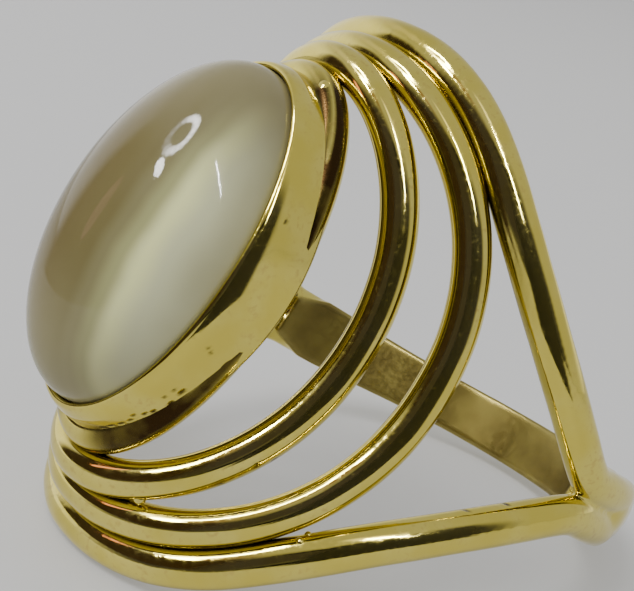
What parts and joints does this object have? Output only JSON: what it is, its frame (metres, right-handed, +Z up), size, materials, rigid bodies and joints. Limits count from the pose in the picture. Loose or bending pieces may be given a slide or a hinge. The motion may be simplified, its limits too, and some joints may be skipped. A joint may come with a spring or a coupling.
{
  "type": "moonstone ring",
  "caption": "Gold ring with an oval domed moonstone in a smooth closed bezel, raised on nested bent wires that run into a plain band.",
  "frame": {"origin": "middle of the ring's box on the surface that it lies on", "axes": "+X across the finger, +Y from the stone's side to the back of the band, +Z up; the ring lies on its side with its finger hole leaning over"},
  "size_m": [0.0198, 0.025, 0.0188],
  "materials": {
    "gold": "polished yellow gold, worn, with fine scratches",
    "moonstone": "polished milky stone with a cream sheen band along its length"
  },
  "bodies": {
    "root": {"gold_mount": "gold", "moonstone": "moonstone"}
  },
  "joints": []
}
